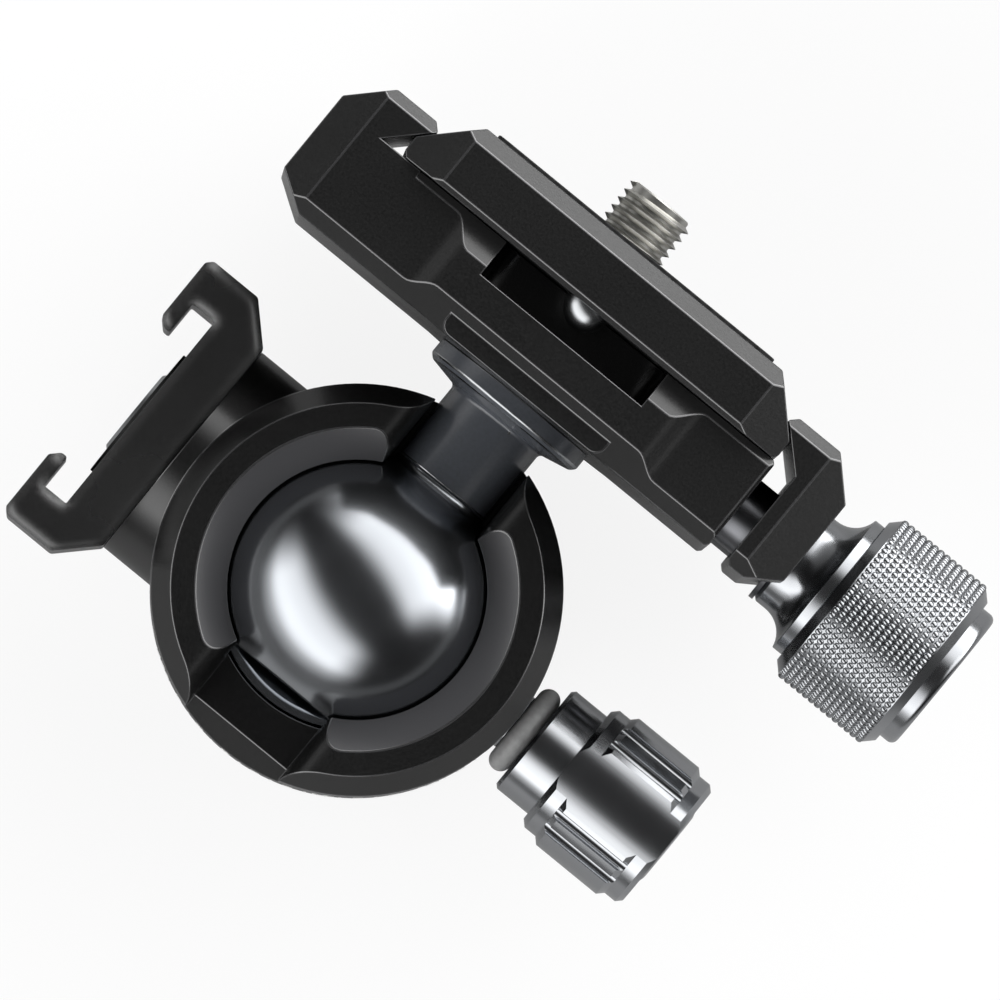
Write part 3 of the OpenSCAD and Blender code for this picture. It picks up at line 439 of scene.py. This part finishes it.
# painted highlight: the stem's bevels take the brighter ground steel, for the light along its
# edges
finish_node("stem", grey_anodised, 0.13, rings=3, edge_highlight_material=bright_steel, clamp=False)
for name in ["lock_knob", "lock_end_cap"]:
    finish_node(name, lock_silver, 0.06)
for name in ["knob_hub", "knob_cap"]:
    finish_node(name, clamp_silver, 0.08)
for name in ["socket_bush", "pivot_washer", "pivot_screw", "cup_spring", "shoe_screw"]:
    finish_node(name, bright_steel, 0.05)
for name in ["lock_screw", "stem_key", "stop_pins", "jaw_springs"]:
    finish_node(name, bright_steel, 0.05)
for name in ["clamp_bolt", "screw_clip", "guide_rods", "clamp_screw"]:
    finish_node(name, black_steel, 0.05)
finish_node("pan_glide", white_plastic, 0.03)
finish_node("thrust_washer", black_steel, 0.03)
finish_node("lock_pin", brass, 0.05)
finish_node("lock_seal", grey_rubber, 0.05)
finish_node("shoe_washer", black_rubber, 0.05)
finish_node("plate_pad", pad_rubber, 0.1)
print("soft edges on", sum(bool(piece.modifiers) for piece in nodes.values()), "nodes")

# %% [markdown]
# The remaining pieces are modelled with operators, as by hand. Two helpers keep that short: one
# starts from nothing selected, and one turns a round piece the way a lathe shows it, from a disc
# that is extruded and resized once for each step of its profile.


# %% Modelling helpers
def start_clean():
    if bpy.context.mode != "OBJECT":
        bpy.ops.object.mode_set(mode="OBJECT")
    bpy.ops.object.select_all(action="DESELECT")


def place_in_mesh():
    bpy.ops.object.transform_apply(location=True, rotation=True, scale=True)


def turn_profile(name, profile, start, direction, sides=128):
    """profile is a list of (distance along the axis, radius), in mm"""
    start_clean()
    turn = Vector((0, 0, 1)).rotation_difference(direction).to_euler()
    first_at, first_r = profile[0]
    bpy.ops.mesh.primitive_circle_add(
        vertices=sides,
        radius=first_r * MM,
        fill_type="NGON",
        location=start + direction * first_at * MM,
        rotation=turn,
    )
    piece = bpy.context.object
    piece.name = name
    place_in_mesh()
    bpy.ops.object.mode_set(mode="EDIT")
    bpy.ops.mesh.select_all(action="SELECT")
    at, r = first_at, first_r
    for next_at, next_r in profile[1:]:
        bpy.ops.mesh.extrude_region_move(
            TRANSFORM_OT_translate={"value": direction * (next_at - at) * MM}
        )
        grow = next_r / r
        bpy.ops.transform.resize(
            value=(grow, grow, grow), center_override=start + direction * next_at * MM
        )
        at, r = next_at, next_r
    bpy.ops.mesh.select_all(action="SELECT")
    bpy.ops.mesh.normals_make_consistent(inside=False)
    bpy.ops.object.mode_set(mode="OBJECT")
    bpy.ops.object.shade_smooth_by_angle(angle=math.radians(25))
    return piece


def join(name, pieces):
    start_clean()
    for piece in pieces:
        piece.select_set(True)
    bpy.context.view_layer.objects.active = pieces[0]
    bpy.ops.object.join()
    pieces[0].name = name
    return pieces[0]


def apply_modifiers(piece):
    start_clean()
    piece.select_set(True)
    bpy.context.view_layer.objects.active = piece
    for modifier in list(piece.modifiers):
        bpy.ops.object.modifier_apply(modifier=modifier.name)


# %% [markdown]
# The clamp knob's grip is knurled into small round beads, 14 rows of 84. One bead is the top of a
# small ball, flattened. An Array modifier repeats it along the knob, and a second one goes round
# the axis by way of an empty that is turned by one step. Below them lies a plain core, bevelled
# at both ends.

# %% Core of the grip
grip_low, grip_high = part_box("knob_grip")
grip_radius = (grip_high.z - grip_low.z) / 2
grip_length = (grip_high.x - grip_low.x) / MM
knurl_depth = 0.2
end_bevel = 0.95
core_radius = grip_radius - knurl_depth * MM
core_mm = core_radius / MM
grip_core = turn_profile(
    "grip_core",
    [
        (0, core_mm - end_bevel + knurl_depth),
        (end_bevel - knurl_depth, core_mm),
        (grip_length - end_bevel + knurl_depth, core_mm),
        (grip_length, core_mm - end_bevel + knurl_depth),
    ],
    Vector((grip_low.x, clamp_axis.y, clamp_axis.z)),
    Vector((1, 0, 0)),
)
print("grip:", round(grip_length, 2), "mm long, core radius", round(core_mm, 2), "mm")

# %% [markdown]
# The bead starts as a small sphere of few faces, because it is repeated more than a thousand
# times. Bisect cuts it off just inside the core and closes the cut.

# %% One bead
bead_rows = 14
beads_round = 84
bead_pitch = 0.61 * MM
bead_height = 0.24 * MM
bead_stretch = 1.02
bead_root = 0.05 * MM
start_clean()
first_row = clamp_axis.x - bead_pitch * (bead_rows - 1) / 2
bpy.ops.mesh.primitive_uv_sphere_add(
    segments=8,
    ring_count=6,
    radius=bead_pitch / 2,
    location=(first_row, clamp_axis.y, clamp_axis.z + core_radius),
)
beads = bpy.context.object
beads.name = "grip_beads"
beads.scale = (bead_stretch, 1.0, bead_height / (bead_pitch / 2))
place_in_mesh()
bpy.ops.object.mode_set(mode="EDIT")
bpy.ops.mesh.select_all(action="SELECT")
bpy.ops.mesh.bisect(
    plane_co=(0, 0, clamp_axis.z + core_radius - bead_root),
    plane_no=(0, 0, 1),
    clear_inner=True,
    use_fill=True,
)
bpy.ops.object.mode_set(mode="OBJECT")
bpy.ops.object.shade_smooth_by_angle(angle=math.radians(80))

# %% Rows and rings of beads
row_array = beads.modifiers.new("rows", "ARRAY")
row_array.count = bead_rows
row_array.use_relative_offset = False
row_array.use_constant_offset = True
row_array.constant_offset_displace = (bead_pitch, 0, 0)
apply_modifiers(beads)
bpy.ops.object.empty_add(location=(0, 0, 0))
step = bpy.context.object
about_axis = Vector((0, clamp_axis.y, clamp_axis.z))
step.matrix_world = (
    Matrix.Translation(about_axis)
    @ Matrix.Rotation(math.tau / beads_round, 4, "X")
    @ Matrix.Translation(-about_axis)
)
bpy.context.view_layer.update()
ring_array = beads.modifiers.new("round the knob", "ARRAY")
ring_array.count = beads_round
ring_array.use_relative_offset = False
ring_array.use_object_offset = True
ring_array.offset_object = step
apply_modifiers(beads)
bpy.data.objects.remove(step)
knurled_grip = join("knurled_grip", [grip_core, beads])
knurled_grip.data.materials.clear()
knurled_grip.data.materials.append(clamp_silver)
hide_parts("knob_grip")
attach(knurled_grip, "clamp_knob")
print("knurled grip:", bead_rows * beads_round, "beads,", len(knurled_grip.data.polygons), "faces")

# %% [markdown]
# The camera screw has a real thread here. A triangle, set in the plane of the axis, is swept by
# the Screw modifier, which climbs by one pitch for each turn. The pitch follows what the
# photograph shows. The crests reach the radius that the CAD file gives the screw. First comes the
# core: a flat head, a neck through the plate, and a stud with a chamfered tip.

# %% Core of the camera screw
screw_low, screw_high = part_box("camera_screw")
screw_length = (screw_high.y - screw_low.y) / MM
head_radius = (screw_high.x - screw_low.x) / 2 / MM
head_height = 2.6
head_chamfer = 0.3
neck_radius = 2.65
crest_radius = 3.15
root_radius = crest_radius - 0.5
tip_chamfer = 0.12
pad_top = (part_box("plate_pad")[1].y - screw_low.y) / MM
thread_start = pad_top + 0.1
up_stem = Vector((0, 1, 0))
screw_foot = Vector((screw_axis.x, screw_low.y, screw_axis.z))
stud = turn_profile(
    "screw_core",
    [
        (0, head_radius - head_chamfer),
        (head_chamfer, head_radius),
        (head_height - head_chamfer, head_radius),
        (head_height, head_radius - head_chamfer),
        (head_height, neck_radius),
        (thread_start - 0.05, neck_radius),
        (thread_start, root_radius),
        (screw_length - tip_chamfer, root_radius),
        (screw_length, root_radius - tip_chamfer),
    ],
    screw_foot,
    up_stem,
    sides=96,
)
print("screw:", round(screw_length, 2), "mm long, thread from", round(thread_start, 2), "mm up")

# %% [markdown]
# The triangle's base lies a little inside the core, so no gap opens at the root. The sweep is made
# in eight equal parts of 48 steps, end to end, and the doubled points between them are merged. A
# fine bevel then takes the knife edge off the crest, as on a rolled thread.

# %% Thread of the camera screw
thread_pitch = 0.8
thread_turns = 5.5
thread_radius = thread_pitch * 0.56
thread_sink = 0.28
crest_bevel = 0.05
sweep_parts = 8
sweep_steps = 48
start_clean()
bpy.ops.mesh.primitive_circle_add(vertices=3, radius=thread_radius * MM, fill_type="NOTHING")
thread = bpy.context.object
thread.name = "screw_thread"
thread.rotation_euler = (0, 0, -math.pi / 2)
thread.location = ((crest_radius - thread_radius) * MM, (thread_start - thread_sink) * MM, 0)
place_in_mesh()
sweep = thread.modifiers.new("climb round the screw", "SCREW")
sweep.axis = "Y"
sweep.angle = math.tau * thread_turns / sweep_parts
sweep.screw_offset = thread_pitch * MM * thread_turns / sweep_parts
sweep.iterations = sweep_parts
sweep.steps = sweep_steps
sweep.render_steps = sweep_steps
apply_modifiers(thread)
thread.location = screw_foot
place_in_mesh()
bpy.ops.object.mode_set(mode="EDIT")
bpy.ops.mesh.select_all(action="SELECT")
bpy.ops.mesh.remove_doubles(threshold=0.001 * MM)
bpy.ops.mesh.fill_holes(sides=4)
bpy.ops.mesh.normals_make_consistent(inside=False)
bpy.ops.object.mode_set(mode="OBJECT")
bpy.ops.object.shade_smooth_by_angle(angle=math.radians(40))
crest = thread.modifiers.new("round the crest", "BEVEL")
crest.width = crest_bevel * MM
crest.segments = 2
crest.limit_method = "ANGLE"
crest.angle_limit = math.radians(60)
apply_modifiers(thread)

# %% Core and thread joined
threaded_screw = join("threaded_camera_screw", [stud, thread])
threaded_screw.data.materials.clear()
threaded_screw.data.materials.append(screw_steel)
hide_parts("camera_screw")
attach(threaded_screw, "screw_body")
screw_size = [round(v / MM, 2) for v in threaded_screw.dimensions]
print("camera screw:", thread_turns, "turns,", screw_size, "mm")

# %% [markdown]
# A degree scale runs round the foot of the housing, with an index line on the base under it. A
# tick is a thin plate of paint, set into the wall by half its thickness, and the numbers are text
# that is turned into a mesh. Each is made upright at the front and turned to its angle. Zero is at
# the front, over the index line. The scale stops at the shoe's arm, and the lock knob hides the
# place of the 90, which stays bare.

# %% Scale helpers
paint_thickness = 0.05 * MM
stroke_swell = 0.04 * MM


def turn_to(piece, angle, radius, z):
    piece.rotation_euler = (math.pi / 2, 0, angle + math.pi / 2)
    piece.location = (radius * math.cos(angle), radius * math.sin(angle), z)


def add_tick(angle, height_mm, z, radius, width_mm=0.22):
    start_clean()
    bpy.ops.mesh.primitive_cube_add(size=1)
    tick = bpy.context.object
    tick.scale = (width_mm * MM, height_mm * MM, paint_thickness)
    turn_to(tick, angle, radius, z + height_mm * MM / 2)
    place_in_mesh()
    return tick


def add_number(angle, value, height_mm, z, radius):
    start_clean()
    bpy.ops.object.text_add()
    number = bpy.context.object
    number.data.body = str(value)
    number.data.size = height_mm * MM
    number.data.align_x = "CENTER"
    number.data.extrude = paint_thickness / 2
    number.data.offset = stroke_swell
    turn_to(number, angle, radius, z)
    bpy.ops.object.convert(target="MESH")
    place_in_mesh()
    return bpy.context.object


# %% Degree scale
scale_z = housing_low.z + 2.6 * MM
number_z = scale_z + 3.3 * MM
number_mm = 1.9
short_tick_mm = 1.5
long_tick_mm = 2.8
long_tick_width_mm = 0.8
arm_at = 180
arm_half = 42
scale_pieces = []
for degrees in range(0, 360, 5):
    angle = math.radians(degrees)
    if abs(degrees - arm_at) < arm_half:
        continue
    if degrees % 10 == 0:
        tick = add_tick(angle, long_tick_mm, scale_z, housing_radius, long_tick_width_mm)
    else:
        tick = add_tick(angle, short_tick_mm, scale_z, housing_radius)
    scale_pieces.append(tick)
    if degrees % 30 == 0 and degrees > 0:
        value = (degrees + 90) % 360
        scale_pieces.append(add_number(angle, value, number_mm, number_z, housing_radius))
degree_scale = join("degree_scale", scale_pieces)
degree_scale.data.materials.clear()
degree_scale.data.materials.append(scale_paint)
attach(degree_scale, "pan")
print("scale:", len(degree_scale.data.polygons), "faces")

# %% Index line on the base
index_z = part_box("base_plate")[0].z + 4.6 * MM
index_mm = 2.2
index_width_mm = 0.3
index_line = add_tick(-math.pi / 2, index_mm, index_z, pan_radius, index_width_mm)
index_line.name = "pan_index"
index_line.data.materials.append(scale_paint)
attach(index_line, "base")

# %% [markdown]
# The studio is plain: a pale floor under two long soft boxes, one on each side of the camera, with
# darkness overhead between them. Polished metal shows what stands around it, so the boxes are what
# draws the two white patches on the ball, and the dark gap is the band between the patches. They
# are painted on the world, where their edges can fade as softly as real cloth boxes do.
#
# The camera sees the floor nearly white. Metal sees it greyer, as the knobs in the photograph do
# at their rims, and black metal isn't washed out from below. For all other light the floor is grey
# near the object and darker further off, a painted pool of light round the object.

# %% Floor
floor_size = 3.0
# painted pool of light: for all but the camera, the floor is grey near the object and dark further
# off
near_grey = "#a2a2a2"
far_grey = "#303030"
camera_white = "#f4f4f4"
grey_ends_at = 0.06
dark_starts_at = 0.2
camera_glow = 0.87
metal_glow = 0.06
start_clean()
bpy.ops.mesh.primitive_plane_add(size=floor_size, location=(0, 0, 0))
floor = bpy.context.object
floor.name = "floor"
floor_paint, tree, shader = new_material("pale studio floor", Roughness=0.8)
rays = add_node(tree, "ShaderNodeLightPath")
to_camera = rays.outputs["Is Camera Ray"]
to_metal = add_node(
    tree,
    "ShaderNodeMath",
    {0: rays.outputs["Is Glossy Ray"], 1: rays.outputs["Is Transmission Ray"]},
    operation="MAXIMUM",
)
spot = add_node(tree, "ShaderNodeTexCoord").outputs["Object"]
from_middle = add_node(tree, "ShaderNodeVectorMath", {0: spot}, operation="LENGTH")
falloff = add_node(
    tree,
    "ShaderNodeMapRange",
    {
        "Value": from_middle.outputs["Value"],
        "From Min": grey_ends_at,
        "From Max": dark_starts_at,
    },
    interpolation_type="SMOOTHSTEP",
)
unlit = add_node(
    tree,
    "ShaderNodeMix",
    {0: falloff.outputs["Result"], 6: srgb(near_grey), 7: srgb(far_grey)},
    data_type="RGBA",
)
paint = add_node(
    tree,
    "ShaderNodeMix",
    {0: to_camera, 6: unlit.outputs[2], 7: srgb(camera_white)},
    data_type="RGBA",
)
tree.links.new(paint.outputs[2], shader.inputs["Base Color"])

# %% Glow of the floor
metal_share = add_node(
    tree, "ShaderNodeMath", {0: to_metal.outputs["Value"], 1: metal_glow}, operation="MULTIPLY"
)
glow_share = add_node(
    tree,
    "ShaderNodeMath",
    {0: to_camera, 1: camera_glow, 2: metal_share.outputs["Value"]},
    operation="MULTIPLY_ADD",
)
glow = add_node(tree, "ShaderNodeEmission", {"Color": srgb("#ffffff"), "Strength": 1.0})
mix = add_node(
    tree,
    "ShaderNodeMixShader",
    {0: glow_share.outputs["Value"], 1: shader.outputs["BSDF"], 2: glow.outputs["Emission"]},
)
tree.links.new(mix.outputs["Shader"], tree.nodes["Material Output"].inputs["Surface"])
floor.data.materials.append(floor_paint)

# %% [markdown]
# On the world, the tilt of a direction picks its brightness from a colour ramp. The tilt is
# measured about the boxes' long axis, in degrees from straight up and towards +Y. One box lies
# round -65 degrees and the other between 39 and 88, where it is brightest low down.

# %% Tilt of the soft boxes
box_way = Vector((0.954, -0.3, 0))
cross_way = Vector((0.3, 0.954, 0))
BOXES = [
    (-90, 0.02),
    (-78, 0.25),
    (-65, 1.0),
    (-45, 0.8),
    (-20, 0.005),
    (16, 0.005),
    (39, 0.8),
    (58, 1.0),
    (88, 1.9),
    (104, 0.05),
]

world = bpy.data.worlds.new("studio")
bpy.context.scene.world = world
world.use_nodes = True
tree = world.node_tree
way = add_node(tree, "ShaderNodeTexCoord").outputs["Generated"]
up_part = add_node(tree, "ShaderNodeSeparateXYZ", {"Vector": way}).outputs["Z"]
across = add_node(tree, "ShaderNodeVectorMath", {0: way, 1: cross_way}, operation="DOT_PRODUCT")
along = add_node(tree, "ShaderNodeVectorMath", {0: way, 1: box_way}, operation="DOT_PRODUCT")
tilt = add_node(
    tree, "ShaderNodeMath", {0: across.outputs["Value"], 1: up_part}, operation="ARCTAN2"
)
tilt_share = add_node(
    tree,
    "ShaderNodeMapRange",
    {"Value": tilt.outputs["Value"], "From Min": -math.pi, "From Max": math.pi},
)
boxes = add_node(tree, "ShaderNodeValToRGB", {"Fac": tilt_share.outputs["Result"]})
ramp = boxes.color_ramp
ramp.interpolation = "EASE"
ramp.elements.remove(ramp.elements[1])
ramp.elements[0].color = (0, 0, 0, 1)
for degrees, level in BOXES:
    stop = ramp.elements.new(0.5 + degrees / 360)
    stop.color = (level, level, level, 1)
print("soft boxes:", len(BOXES), "stops")

# %% [markdown]
# Along their length the boxes fade out at both ends, a little further out at the end away from
# the knobs. The camera itself sees the world as plain white.

# %% Ends of the soft boxes
box_strength = 2.6
room_strength = 0.03
fade_starts_at = 0.56
fade_ends_at = 0.88
far_end_share = 0.87
other_way = add_node(
    tree,
    "ShaderNodeMath",
    {0: along.outputs["Value"], 1: -far_end_share},
    operation="MULTIPLY",
)
far_along = add_node(
    tree,
    "ShaderNodeMath",
    {0: along.outputs["Value"], 1: other_way.outputs["Value"]},
    operation="MAXIMUM",
)
box_ends = add_node(
    tree,
    "ShaderNodeMapRange",
    {
        "Value": far_along.outputs["Value"],
        "From Min": fade_starts_at,
        "From Max": fade_ends_at,
        "To Min": box_strength,
        "To Max": 0.0,
    },
    interpolation_type="SMOOTHSTEP",
)
studio = add_node(
    tree,
    "ShaderNodeMath",
    {0: boxes.outputs["Color"], 1: box_ends.outputs["Result"], 2: room_strength},
    operation="MULTIPLY_ADD",
)
rays = add_node(tree, "ShaderNodeLightPath")
whiten = add_node(
    tree,
    "ShaderNodeMix",
    {0: rays.outputs["Is Camera Ray"], 2: studio.outputs["Value"], 3: 1.0},
    data_type="FLOAT",
)
background = tree.nodes["Background"]
background.inputs["Color"].default_value = srgb("#ffffff")
tree.links.new(whiten.outputs[0], background.inputs["Strength"])

# %% [markdown]
# The photograph looks almost straight down the pan axis, from far away with a long lens, and the
# picture is turned so that the stem points up and to the right. The camera is set from those
# facts: the point at the middle of the frame, the width that the frame covers, and the angles.

# %% Camera
frame_width = 79.4 * MM
picture_middle = Vector((4.26, 12.7, 28.1)) * MM
picture_turn = math.radians(39.3)
lean = math.radians(1.2)
distance = 3.0
sensor_mm = 36
forward = Vector((0, math.sin(lean), -math.cos(lean)))
right = Vector((math.cos(picture_turn), math.sin(picture_turn), 0))
right = (right - forward * right.dot(forward)).normalized()
up = right.cross(forward)
start_clean()
bpy.ops.object.camera_add()
camera = bpy.context.object
camera.matrix_world = Matrix.Translation(picture_middle - forward * distance) @ (
    Matrix((right, up, -forward)).transposed().to_4x4()
)
camera.data.sensor_width = sensor_mm
camera.data.lens = sensor_mm * distance / frame_width
camera.data.clip_end = 20
bpy.context.scene.camera = camera
print("lens:", round(camera.data.lens), "mm")

# %% [markdown]
# Two area lamps stand where the boxes are, and give the object a little more of the same light and
# a soft shadow on the floor. Metal doesn't show them, because it already shows the boxes.

# %% Lamps
lamp_distance = 0.9
lamp_size = 0.5
lamp_power = 1.2
lamp_out = cross_way * 0.85
lamp_rise = Vector((0, 0, 0.53))


def soft_lamp(name, toward):
    start_clean()
    place = picture_middle + toward.normalized() * lamp_distance
    bpy.ops.object.light_add(type="AREA", location=place)
    lamp = bpy.context.object
    lamp.name = name
    lamp.data.shape = "RECTANGLE"
    lamp.data.size = lamp_size
    lamp.data.size_y = lamp_size
    lamp.data.energy = lamp_power
    lamp.visible_glossy = False
    lamp.rotation_euler = (picture_middle - place).to_track_quat("-Z", "Y").to_euler()


soft_lamp("lamp_in_the_upper_box", lamp_rise + lamp_out)
soft_lamp("lamp_in_the_lower_box", lamp_rise - lamp_out)

# %% [markdown]
# The Standard view shows a colour as it is written.

# %% Settings
bpy.context.scene.view_settings.view_transform = "Standard"
